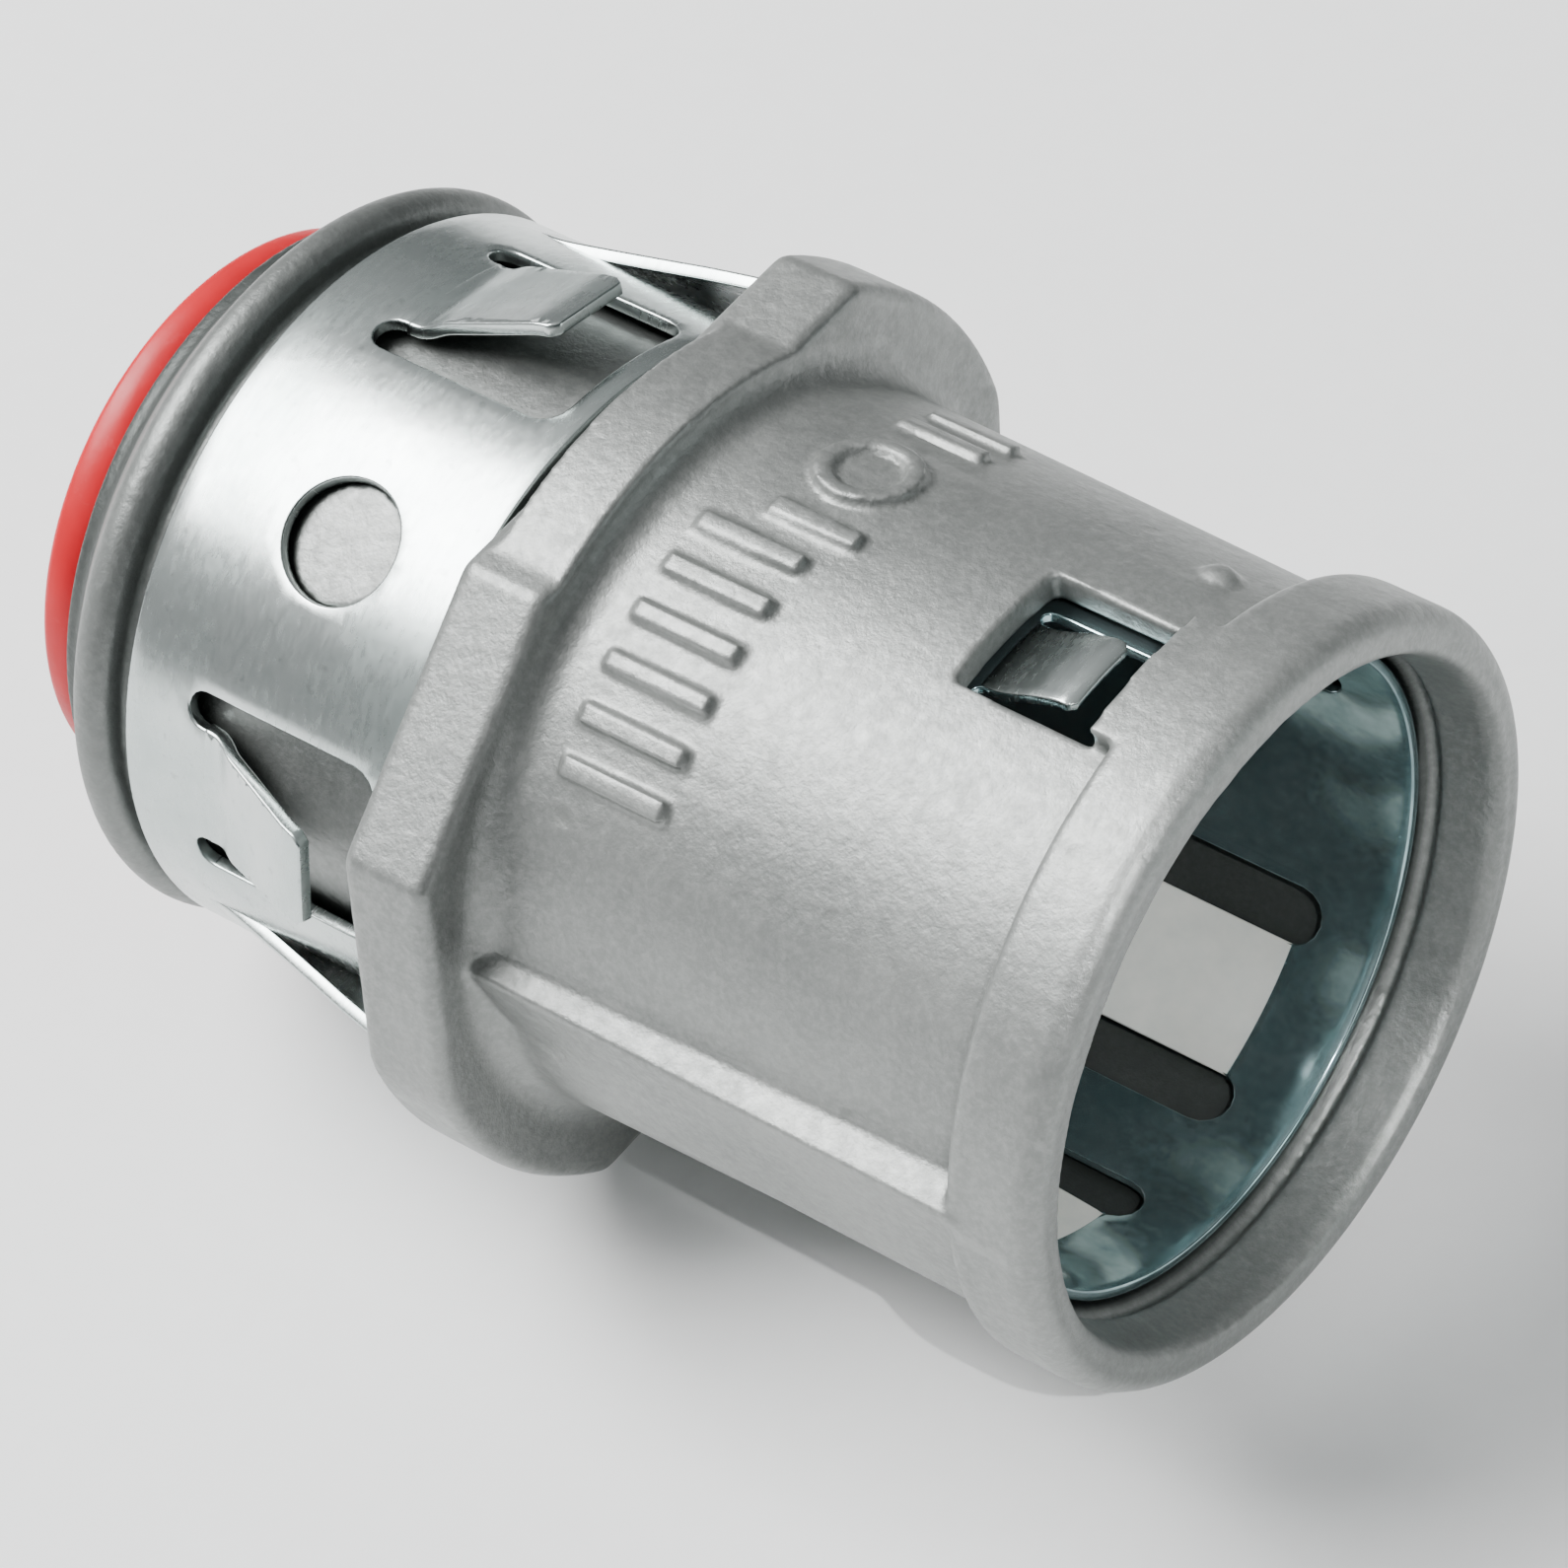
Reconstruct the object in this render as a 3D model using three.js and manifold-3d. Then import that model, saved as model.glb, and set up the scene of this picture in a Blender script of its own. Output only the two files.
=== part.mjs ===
// Snap-in connector for 1/2 inch thin-wall conduit, in millimetres, +Z up.
// The bore runs along X: the conduit mouth faces +X and the insulated throat faces -X.
// Lengths along X are counted back from the mouth's front face, so they are negative,
// and angles go round the bore from +Y towards +Z.
import * as THREE from "three";
import { mergeVertices } from "three/addons/utils/BufferGeometryUtils.js";
import manifoldModule from "manifold-3d";

const wasm = await manifoldModule();
wasm.setup();

// ---------- driving dimensions ----------
const CONDUIT_R = 8.965;
const FIT_GAP = 0.25;

const COLLAR_R = 11.3;
const COLLAR_BACK = -2.9;
const BARREL_R_FRONT = 10.45;
const BARREL_R_BACK = 10.75;
const BORE_R = 9.6;
const LIP_R = 9.98;
const LIP_DEPTH = 2.0;
const CONDUIT_STOP = -18.6;
const STOP_R = 7.9;
const STOP_OUTER_R = 8.97;

const FLANGE_R = 13.3;
const FLANGE_FRONT = -18.75;
const SEAT = -21.6;
const FLANGE_FLAT = 10.65;
const FLANGE_FLATS = [[90, FLANGE_FLAT], [130.5, 11.85], [173.5, 12.75]];
const EDGE_ROUND = 0.45;
const SEAT_INNER_R = 11.15;
const RELIEF = 0.15;

const NECK_R = 10.15;
const NECK_BORE_R = 8.6;
const BEAD_X = -32.85;
const BEAD_R = 11.0;
const BEAD_TUBE = 0.68;
const NOSE_END = -35.4;
const NOSE_R = 9.4;
const NOSE_FACE_R = 8.75;

const RING_R = 10.8;
const RING_WALL = 0.4;
const RING_BACK = -31.45;
const BOSS_ANGLES = [122.5, 302.5];
const BOSS_X = -26.1;
const BOSS_R = 1.6;
const RING_SPLIT_ANGLE = 302.5;
const RING_SPLIT = 1.4;

const TANG_ANGLES = [77.5, 167.5, 257.5, 347.5];
const TANG_ROOT = -28.2;
const TANG_TIP = -23.7;
const TANG_TIP_R = 12.35;
const TANG_WINDOW_FRONT = -22.6;
const TANG_WINDOW_HALF = 3.0;

const RAMP_ANGLES = [32.5, 212.5];
const RAMP_ROOT = -29.5;
const RAMP_TIP_R = 12.1;
const RAMP_HALF = 2.95;
const RAMP_SLIT = 0.2;

const CLIP_WALL = 0.3;
const CLIP_R = CONDUIT_R + 0.085 + CLIP_WALL;
const CLIP_FRONT = -2.35;
const CLIP_BACK = -17.2;
const CLIP_SEAM_ANGLE = 193.5;
const FINGER_ANGLES = [31.5, 148.5, 238.5, 301.5];
const FINGER_ROOT = -4.95;
const FINGER_TIP = -11.1;
const FINGER_TIP_R = 8.35;
const FINGER_HALF = 2.05;
const FINGER_SLOT = 1.7;

const LOCK_ANGLE = 90;
const WINDOW_BACK = -8.05;
const WINDOW_FRONT = -3.6;
const WINDOW_WIDTH = 4.4;
const LOCK_ROOT = -7.75;
const LOCK_TIP = -4.95;
const LOCK_HALF = 1.3;

const THROAT_R = 7.45;
const THROAT_SLEEVE_R = 8.35;
const THROAT_RIM_R = 8.5;
const THROAT_INNER_END = -30.5;
const THROAT_END = -36.7;

const AXIS_HEIGHT = 12.397;
const MIDDLE = THROAT_END / 2;

const STEPS = 80;
const HAIR = 0.15;

// ---------- solid helpers ----------
function toSolid(geometry) {
  const clean = geometry.index ? geometry.clone().toNonIndexed() : geometry.clone();
  clean.deleteAttribute("normal");
  clean.deleteAttribute("uv");
  const merged = mergeVertices(clean, 1e-4);
  const mesh = new wasm.Mesh({
    numProp: 3,
    vertProperties: new Float32Array(merged.attributes.position.array),
    triVerts: new Uint32Array(dropSlivers(merged.index.array)),
  });
  return new wasm.Manifold(mesh);
}

// Triangles that lost a corner when their points were merged are left out.
function dropSlivers(index) {
  const kept = [];
  for (let i = 0; i < index.length; i += 3) {
    const [a, b, c] = [index[i], index[i + 1], index[i + 2]];
    if (a !== b && b !== c && c !== a) kept.push(a, b, c);
  }
  return kept;
}

function toGeometry(solid) {
  const mesh = solid.getMesh();
  const geometry = new THREE.BufferGeometry();
  const points = new Float32Array(mesh.vertProperties);
  geometry.setAttribute("position", new THREE.BufferAttribute(points, 3));
  geometry.setIndex(new THREE.BufferAttribute(new Uint32Array(mesh.triVerts), 1));
  const flat = geometry.toNonIndexed();
  flat.computeVertexNormals();
  return flat;
}

// A profile of [x, radius] pairs turned about the X axis. It ends on the axis, or it closes.
function turned(profile, steps = STEPS) {
  const points = profile.map(([x, r]) => new THREE.Vector2(r, x));
  if (signedArea(points) < 0) points.reverse();
  const geometry = new THREE.LatheGeometry(points, steps);
  geometry.rotateZ(-Math.PI / 2);
  return toSolid(geometry);
}

function signedArea(points) {
  let sum = 0;
  points.forEach((p, i) => {
    const q = points[(i + 1) % points.length];
    sum += p.x * q.y - q.x * p.y;
  });
  return sum;
}

function arc(cx, cr, radius, from, to, count) {
  const points = [];
  for (let i = 0; i <= count; i += 1) {
    const a = THREE.MathUtils.degToRad(from + ((to - from) * i) / count);
    points.push([cx + radius * Math.cos(a), cr + radius * Math.sin(a)]);
  }
  return points;
}

// Pieces are drawn at the top of the bore, with up as outward, then turned round to their angle.
function around(geometry, angle) {
  return geometry.rotateX(THREE.MathUtils.degToRad(angle - 90));
}

function block(x0, x1, width, r0, r1, angle) {
  const geometry = new THREE.BoxGeometry(x1 - x0, width, r1 - r0);
  geometry.translate((x0 + x1) / 2, 0, (r0 + r1) / 2);
  return toSolid(around(geometry, angle));
}

function radialPin(x, offset, radius, r0, r1, angle, steps = 28) {
  const geometry = new THREE.CylinderGeometry(radius, radius, r1 - r0, steps);
  geometry.rotateX(Math.PI / 2);
  geometry.translate(x, offset, (r0 + r1) / 2);
  return toSolid(around(geometry, angle));
}

// A flat outline of [x, across] pairs, standing from radius r0 to r1.
function plate(outline, r0, r1, angle) {
  const shape = new THREE.Shape(outline.map(([x, y]) => new THREE.Vector2(x, y)));
  const geometry = new THREE.ExtrudeGeometry(shape, { depth: r1 - r0, bevelEnabled: false });
  geometry.translate(0, 0, r0);
  return toSolid(around(geometry, angle));
}

// A side view of [x, radius] pairs, given a width across the bore.
function strip(profile, half, angle) {
  const shape = new THREE.Shape(profile.map(([x, r]) => new THREE.Vector2(x, r)));
  const geometry = new THREE.ExtrudeGeometry(shape, { depth: 2 * half, bevelEnabled: false });
  geometry.rotateX(Math.PI / 2);
  geometry.translate(0, half, 0);
  return toSolid(around(geometry, angle));
}

// The side view of a bent sheet: its outer line, then the same line one wall lower, backwards.
function sheet(line, wall) {
  const inner = line.map(([x, r], i) => {
    const before = line[Math.max(i - 1, 0)];
    const after = line[Math.min(i + 1, line.length - 1)];
    const length = Math.hypot(after[0] - before[0], after[1] - before[1]);
    const nx = (after[1] - before[1]) / length;
    const nr = -(after[0] - before[0]) / length;
    return [x + nx * wall, r + nr * wall];
  });
  return [...line, ...inner.reverse()];
}

function joined(solids) {
  return solids.reduce((whole, solid) => whole.add(solid));
}

function trimmed(solid, cutters) {
  return cutters.reduce((rest, cutter) => rest.subtract(cutter), solid);
}

// A U-shaped opening round a tongue: full width past the root, then two round-ended side slots.
function tongueCut({ root, end, reach, half, slot, r0, r1, angle }) {
  const back = Math.sign(root - end);
  const slotEnd = root + back * reach;
  const cuts = [block(Math.min(root, end), Math.max(root, end), 2 * half, r0, r1, angle)];
  for (const side of [-1, 1]) {
    const middle = side * (half - slot / 2);
    const outline = [
      [root - back * 0.2, middle - slot / 2],
      [slotEnd, middle - slot / 2],
      [slotEnd, middle + slot / 2],
      [root - back * 0.2, middle + slot / 2],
    ];
    if (signedArea(outline.map(([x, y]) => ({ x, y }))) < 0) outline.reverse();
    cuts.push(plate(outline, r0, r1, angle));
    cuts.push(radialPin(slotEnd, middle, slot / 2, r0, r1, angle, 16));
  }
  return joined(cuts);
}

// ---------- cast body ----------
function flangeOutline() {
  const outline = [];
  const flats = FLANGE_FLATS.flatMap(([angle, d]) => [[angle, d], [angle + 180, d]]);
  for (let angle = 0; angle < 360; angle += 3) {
    let reach = FLANGE_R - EDGE_ROUND;
    for (const [normal, distance] of flats) {
      const lean = Math.cos(THREE.MathUtils.degToRad(angle - normal));
      if (lean > 0.1) reach = Math.min(reach, (distance - EDGE_ROUND) / lean);
    }
    const a = THREE.MathUtils.degToRad(angle);
    outline.push(new THREE.Vector2(reach * Math.cos(a), reach * Math.sin(a)));
  }
  return outline;
}

function makeFlange() {
  const geometry = new THREE.ExtrudeGeometry(new THREE.Shape(flangeOutline()), {
    depth: FLANGE_FRONT - SEAT - 2 * EDGE_ROUND,
    bevelEnabled: true,
    bevelThickness: EDGE_ROUND,
    bevelSize: EDGE_ROUND,
    bevelSegments: 3,
  });
  geometry.translate(0, 0, SEAT + EDGE_ROUND);
  geometry.applyMatrix4(new THREE.Matrix4().set(0, 0, 1, 0, 1, 0, 0, 0, 0, 1, 0, 0, 0, 0, 0, 1));
  const relief = turned([
    [SEAT - 1, 0],
    [SEAT - 1, SEAT_INNER_R],
    [SEAT + RELIEF, SEAT_INNER_R],
    [SEAT + RELIEF, 0],
  ]);
  return toSolid(geometry).subtract(relief);
}

function makeBarrel() {
  const cove = 1.0;
  return turned([
    [0, 0],
    ...arc(-0.35, 10.35, 0.35, 0, 90, 3).slice(0, 1),
    [0, 10.4],
    ...arc(-0.8, COLLAR_R - 0.8, 0.8, 0, 90, 5),
    ...arc(COLLAR_BACK + 0.4, COLLAR_R - 0.4, 0.4, 90, 180, 4),
    [COLLAR_BACK, BARREL_R_FRONT],
    ...arc(FLANGE_FRONT + cove, BARREL_R_BACK + cove, cove, 270, 180, 5),
    [SEAT + 0.5, BARREL_R_BACK + cove],
    [SEAT + 0.5, NECK_R],
    [BEAD_X + BEAD_TUBE, NECK_R],
    ...arc(BEAD_X, BEAD_R - BEAD_TUBE, BEAD_TUBE, 0, 140, 9),
    [BEAD_X - 1.35, NOSE_R + 0.3],
    [BEAD_X - 1.6, NOSE_R + 0.05],
    [BEAD_X - 2.05, NOSE_R],
    [NOSE_END, NOSE_FACE_R],
    [NOSE_END, 0],
  ]);
}

function makeBores() {
  return turned([
    [1, 0],
    [1, LIP_R + 0.35],
    [0, LIP_R + 0.1],
    [-0.35, LIP_R - 0.08],
    [-LIP_DEPTH, BORE_R + 0.08],
    [-LIP_DEPTH - 0.15, BORE_R],
    [CONDUIT_STOP - RELIEF, BORE_R],
    [CONDUIT_STOP - RELIEF, STOP_OUTER_R],
    [CONDUIT_STOP, STOP_OUTER_R],
    [CONDUIT_STOP, STOP_R],
    [CONDUIT_STOP - 2, STOP_R],
    [CONDUIT_STOP - 2, NECK_BORE_R],
    [NOSE_END - 1, NECK_BORE_R],
    [NOSE_END - 1, 0],
  ]);
}

// The step that runs along each side of the barrel, where the two mould halves meet.
function makeSideStep(mirror) {
  const step = 173;
  const slope = 194.5;
  const flat = 10.62;
  const at = (angle, r) => {
    const a = THREE.MathUtils.degToRad(mirror ? 180 - angle : angle);
    return new THREE.Vector2(r * Math.cos(a), r * Math.sin(a));
  };
  const edge = flat / Math.cos(THREE.MathUtils.degToRad(slope - step));
  const foot = 203;
  const outline = [
    at(step - 2.5, BORE_R + 0.3),
    at(step - 2.5, edge - 0.12),
    at(step - 1.2, edge),
    at(foot, flat / Math.cos(THREE.MathUtils.degToRad(foot - slope))),
    at(foot, BORE_R + 0.3),
  ];
  if (signedArea(outline) < 0) outline.reverse();
  const shape = new THREE.Shape(outline);
  const geometry = new THREE.ExtrudeGeometry(shape, {
    depth: COLLAR_BACK + 0.5 - FLANGE_FRONT + 0.8,
    bevelEnabled: false,
  });
  geometry.translate(0, 0, FLANGE_FRONT - 0.8);
  geometry.applyMatrix4(new THREE.Matrix4().set(0, 0, 1, 0, 1, 0, 0, 0, 0, 1, 0, 0, 0, 0, 0, 1));
  return toSolid(geometry);
}

// Plain raised bars on the barrel, and one plain raised ring.
function makeRaisedMarks() {
  const r = BARREL_R_BACK;
  const bars = [];
  for (const angle of [97, 105, 113, 121, 129, 137]) {
    bars.push(block(-17.0, -13.6, 0.55, r - 0.6, r + 0.17, angle));
  }
  for (const angle of [52, 60, 89.5]) {
    bars.push(block(-15.6, -12.8, 0.55, r - 0.6, r + 0.12, angle));
  }
  const disc = radialPin(-14.4, 0, 1.6, r - 0.6, r + 0.12, 76, 28);
  const hole = radialPin(-14.4, 0, 0.9, r - 0.9, r + 1, 76, 24);
  bars.push(disc.subtract(hole));
  return bars;
}

function makeBody() {
  const collar = turned([
    [WINDOW_FRONT - 0.1, 0],
    [WINDOW_FRONT - 0.1, COLLAR_R - 0.06],
    [COLLAR_BACK + 0.6, COLLAR_R - 0.06],
    [COLLAR_BACK + 0.6, 0],
  ]);
  const land = collar.intersect(block(-4.5, -1.5, WINDOW_WIDTH + 0.35, 5, 13, LOCK_ANGLE));
  const bump = new THREE.SphereGeometry(0.75, 16, 10);
  bump.translate(-5.0, 0, BARREL_R_FRONT - 0.38);
  const outside = joined([
    makeBarrel(),
    makeFlange(),
    land,
    makeSideStep(false),
    makeSideStep(true),
    toSolid(around(bump, 60.8)),
    ...makeRaisedMarks(),
    ...BOSS_ANGLES.map((angle) => radialPin(BOSS_X, 0, BOSS_R, 9.2, RING_R - 0.35, angle)),
  ]);
  const window = block(WINDOW_BACK, WINDOW_FRONT, WINDOW_WIDTH, 8, 13, LOCK_ANGLE);
  return trimmed(outside, [makeBores(), window]);
}

// ---------- spring-steel snap ring ----------
function makeSnapRing() {
  const front = SEAT - FIT_GAP;
  const inner = RING_R - RING_WALL;
  const tube = turned([
    [front, inner],
    [front, RING_R - 0.1],
    [front - 0.1, RING_R],
    [RING_BACK + 0.1, RING_R],
    [RING_BACK, RING_R - 0.1],
    [RING_BACK, inner],
    [front, inner],
  ]);
  const cuts = TANG_ANGLES.map((angle) => tongueCut({
    root: TANG_ROOT - HAIR,
    end: TANG_WINDOW_FRONT,
    reach: 0.35,
    half: TANG_WINDOW_HALF,
    slot: 1.05,
    r0: 9.4,
    r1: 12,
    angle,
  }));
  for (const angle of RAMP_ANGLES) {
    cuts.push(block(RAMP_ROOT - HAIR, front + 1, 2 * (RAMP_HALF + RAMP_SLIT), 8.5, 12, angle));
  }
  for (const angle of BOSS_ANGLES) {
    cuts.push(radialPin(BOSS_X, 0, BOSS_R + 0.2, 9.4, 12, angle));
  }
  cuts.push(block(RING_BACK - 1, front + 1, RING_SPLIT, 8, 12, RING_SPLIT_ANGLE));
  return trimmed(tube, cuts);
}

// A flat tongue that stands off the ring towards the flange, with a short lip at its tip.
function makeTang(angle) {
  const line = [
    [TANG_ROOT, RING_R],
    [TANG_ROOT + 0.7, RING_R + 0.12],
    [TANG_TIP - 0.75, TANG_TIP_R - 0.12],
    [TANG_TIP, TANG_TIP_R],
  ];
  const outline = [
    [TANG_ROOT - 1, -1.9],
    [TANG_ROOT + 0.5, -1.85],
    [TANG_TIP + 1, -1.5],
    [TANG_TIP + 1, 1.5],
    [TANG_ROOT + 0.5, 1.85],
    [TANG_ROOT - 1, 1.9],
  ];
  return strip(sheet(line, RING_WALL), 2.5, angle).intersect(plate(outline, 9, 14, angle));
}

// A wide curved tongue that ramps outward until it stands in front of the flange.
function makeRamp(angle) {
  const tip = SEAT - FIT_GAP - HAIR;
  const line = [
    [RAMP_ROOT, RING_R],
    [RAMP_ROOT + 0.8, RING_R + 0.1],
    [tip - 0.6, RAMP_TIP_R - 0.08],
    [tip, RAMP_TIP_R],
  ];
  const shell = sheet(line, RING_WALL);
  return turned([...shell, shell[0]]).intersect(block(-40, 0, 2 * RAMP_HALF, 9, 14, angle));
}

// ---------- conduit clip ----------
function makeClip() {
  const inner = CLIP_R - CLIP_WALL;
  const tube = turned([
    [CLIP_FRONT - 0.12, inner],
    [CLIP_FRONT, inner + 0.1],
    [CLIP_FRONT, CLIP_R - 0.08],
    [CLIP_FRONT - 0.12, CLIP_R],
    [CLIP_BACK, CLIP_R],
    [CLIP_BACK, inner],
    [CLIP_FRONT - 0.12, inner],
  ]);
  const cuts = FINGER_ANGLES.map((angle) => tongueCut({
    root: FINGER_ROOT + HAIR,
    end: FINGER_TIP - 0.5,
    reach: 0.1,
    half: FINGER_HALF + FINGER_SLOT,
    slot: FINGER_SLOT,
    r0: 7.5,
    r1: 10.5,
    angle,
  }));
  cuts.push(tongueCut({
    root: LOCK_ROOT - HAIR,
    end: WINDOW_FRONT - 0.1,
    reach: 0.1,
    half: LOCK_HALF + 0.55,
    slot: 0.5,
    r0: 7.5,
    r1: 10.5,
    angle: LOCK_ANGLE,
  }));
  cuts.push(block(CLIP_BACK - 1, CLIP_FRONT + 1, 1.0, 7, 11, CLIP_SEAM_ANGLE));
  return trimmed(tube, cuts);
}

// A curved finger that leans in on the conduit, pointing away from the mouth.
function makeFinger(angle) {
  const line = [
    [FINGER_TIP, FINGER_TIP_R + CLIP_WALL],
    [FINGER_TIP + 1.0, FINGER_TIP_R + CLIP_WALL + 0.28],
    [FINGER_ROOT - 0.9, CLIP_R - 0.06],
    [FINGER_ROOT, CLIP_R],
  ];
  const shell = sheet(line, CLIP_WALL);
  const width = plate([
    [FINGER_TIP - 1, -FINGER_HALF],
    [FINGER_ROOT + 1, -FINGER_HALF],
    [FINGER_ROOT + 1, FINGER_HALF],
    [FINGER_TIP - 1, FINGER_HALF],
  ], 7, 11, angle);
  return turned([...shell, shell[0]]).intersect(width);
}

function makeLockTab() {
  const line = [
    [LOCK_ROOT, CLIP_R],
    [LOCK_ROOT + 0.5, CLIP_R + 0.1],
    [LOCK_TIP - 0.5, CLIP_R + 0.82],
    [LOCK_TIP, CLIP_R + 0.85],
  ];
  return strip(sheet(line, CLIP_WALL), LOCK_HALF, LOCK_ANGLE);
}

// ---------- insulating throat ----------
function makeThroat() {
  return turned([
    [THROAT_INNER_END, THROAT_R + 0.1],
    [THROAT_INNER_END, THROAT_SLEEVE_R - 0.3],
    [THROAT_INNER_END - 0.4, THROAT_SLEEVE_R],
    [NOSE_END - 0.2, THROAT_SLEEVE_R],
    [NOSE_END - 0.2, THROAT_RIM_R],
    ...arc(THROAT_END + 0.25, THROAT_RIM_R - 0.25, 0.25, 90, 180, 3),
    ...arc(THROAT_END + 0.4, THROAT_R + 0.38, 0.4, 180, 255, 4),
    [THROAT_END + 1.5, THROAT_R],
    [THROAT_INNER_END - 0.4, THROAT_R],
    [THROAT_INNER_END, THROAT_R + 0.1],
  ]);
}

// ---------- assembly ----------
const castZinc = () => new THREE.MeshStandardMaterial({ color: 0xa9adac, roughness: 0.55, metalness: 0.7 });
const springSteel = () => new THREE.MeshStandardMaterial({ color: 0xb4c0be, roughness: 0.25, metalness: 1.0 });
const clipSteel = () => new THREE.MeshStandardMaterial({ color: 0x9fb4b3, roughness: 0.15, metalness: 1.0 });
const redPlastic = () => new THREE.MeshStandardMaterial({ color: 0xc94447, roughness: 0.4, metalness: 0.0 });

const connector = new THREE.Group();
connector.name = "conduit_snap_connector";
connector.position.set(-MIDDLE, 0, AXIS_HEIGHT);

function addPiece(name, solid, material) {
  const mesh = new THREE.Mesh(toGeometry(solid), material);
  mesh.name = name;
  connector.add(mesh);
}

addPiece("connector_body", makeBody(), castZinc());
addPiece("snap_ring", makeSnapRing(), springSteel());
TANG_ANGLES.forEach((angle, i) => addPiece(`snap_tang_${i + 1}`, makeTang(angle), springSteel()));
RAMP_ANGLES.forEach((angle, i) => addPiece(`ramp_tang_${i + 1}`, makeRamp(angle), springSteel()));
addPiece("conduit_clip", makeClip(), clipSteel());
FINGER_ANGLES.forEach((angle, i) => addPiece(`clip_finger_${i + 1}`, makeFinger(angle), clipSteel()));
addPiece("clip_lock_tab", makeLockTab(), clipSteel());
addPiece("throat_bushing", makeThroat(), redPlastic());

export default connector;
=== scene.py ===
# Looks for the snap-in conduit connector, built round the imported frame.
# Sizes are in millimetres and are multiplied by MM when a point is placed. Lengths along the
# bore are counted back from the mouth's front face, and angles go from +Y towards +Z.
import math

import bmesh
import bpy
from mathutils import Matrix, Vector
from mathutils.geometry import delaunay_2d_cdt


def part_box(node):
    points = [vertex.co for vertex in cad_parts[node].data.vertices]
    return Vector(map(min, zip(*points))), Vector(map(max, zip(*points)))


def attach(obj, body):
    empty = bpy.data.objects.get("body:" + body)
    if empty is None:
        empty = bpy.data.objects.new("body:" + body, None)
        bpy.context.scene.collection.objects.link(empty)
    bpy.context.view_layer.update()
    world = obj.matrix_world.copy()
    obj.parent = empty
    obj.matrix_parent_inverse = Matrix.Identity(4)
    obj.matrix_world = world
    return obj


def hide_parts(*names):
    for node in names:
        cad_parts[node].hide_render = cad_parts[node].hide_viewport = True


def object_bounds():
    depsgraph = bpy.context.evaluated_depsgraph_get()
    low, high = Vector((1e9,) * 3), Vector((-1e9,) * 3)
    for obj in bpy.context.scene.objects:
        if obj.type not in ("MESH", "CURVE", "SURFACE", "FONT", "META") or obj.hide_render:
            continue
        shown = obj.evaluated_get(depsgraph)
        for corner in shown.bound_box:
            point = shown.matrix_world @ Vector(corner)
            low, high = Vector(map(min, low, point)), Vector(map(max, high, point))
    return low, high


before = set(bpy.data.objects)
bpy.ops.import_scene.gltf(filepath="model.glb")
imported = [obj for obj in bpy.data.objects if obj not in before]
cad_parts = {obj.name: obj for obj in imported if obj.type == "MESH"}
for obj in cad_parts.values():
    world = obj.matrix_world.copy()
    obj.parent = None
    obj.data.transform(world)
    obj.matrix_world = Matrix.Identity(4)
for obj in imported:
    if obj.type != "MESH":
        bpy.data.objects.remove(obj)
CAD_BOX = [list(map(float, corner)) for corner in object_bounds()]

MM = 0.001
MOUTH_X = Vector(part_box("connector_body")[1]).x
RING_LOW, RING_HIGH = (Vector(c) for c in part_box("snap_ring"))
AXIS_Z = (RING_LOW.z + RING_HIGH.z) / 2

# ---------- sizes, in millimetres and degrees ----------
# They follow the CAD part. FLANGE_R is 0.02 less than the CAD's, so that the flange's rounded
# skin stays inside the CAD box.
COLLAR_R, COLLAR_BACK = 11.3, -2.9
BARREL_R_FRONT, BARREL_R_BACK = 10.45, 10.75
BORE_R = 9.6
STOP_FRONT, STOP_BACK, STOP_R = -18.6, -20.6, 7.9
FLANGE_R, FLANGE_FRONT, SEAT = 13.28, -18.75, -21.6
FLANGE_FOOT_R, FLANGE_EDGE, FLANGE_BLEND = 9.2, 0.4, 0.12
FLANGE_FLATS = [(90, 10.65), (130.5, 11.85), (173.5, 12.75)]
NECK_R, NECK_BORE_R = 10.15, 8.6
BEAD_X, BEAD_R, BEAD_TUBE = -32.85, 11.0, 0.68
NOSE_END, NOSE_R, NOSE_FACE_R = -35.4, 9.4, 8.72
RING_R, RING_WALL = 10.8, 0.4
RING_FRONT, RING_BACK, RING_GAP_HALF = -21.85, -31.42, 0.7
BOSS_X, BOSS_ANGLES, BOSS_FOOT_R = -26.1, (122.5, 302.5), 9.4
BOSS_PIN_R, BOSS_HOLE_R = 1.76, 1.8
TANG_ANGLES = (77.5, 167.5, 257.5, 347.5)
TANG_ROOT, TANG_TIP, TANG_TIP_R = -28.2, -23.7, 12.35
TANG_HALF, TANG_WINDOW_HALF, TANG_WINDOW_FRONT = 1.93, 3.0, -22.6
RAMP_ANGLES, RAMP_ROOT, RAMP_TIP_R, RAMP_HALF = (32.5, 212.5), -29.5, 12.1, 2.95
CLIP_R, CLIP_WALL, CLIP_FRONT, CLIP_BACK = 9.35, 0.3, -2.35, -17.2
CLIP_GAP_HALF, CLIP_EDGE = 0.3, 0.06
FINGER_ANGLES, FINGER_ROOT, FINGER_TIP = (31.5, 148.5, 238.5, 301.5), -4.95, -11.1
FINGER_TIP_R, FINGER_HALF, FINGER_SLOT = 8.35, 2.05, 1.7
WINDOW_BACK, WINDOW_FRONT, WINDOW_WIDTH, WINDOW_ANGLE = -8.05, -3.6, 4.4, 90
LOCK_ROOT, LOCK_TIP, LOCK_HALF = -7.75, -4.95, 1.3
SEAM_ANGLE = 193.5
THROAT_R, THROAT_SLEEVE_R, THROAT_INNER_END, THROAT_END = 7.45, 8.35, -30.5, -36.7
THROAT_RIM_R = 8.5
TONGUE_LIFT = 0.01
SHEET_EDGE = 0.07

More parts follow.
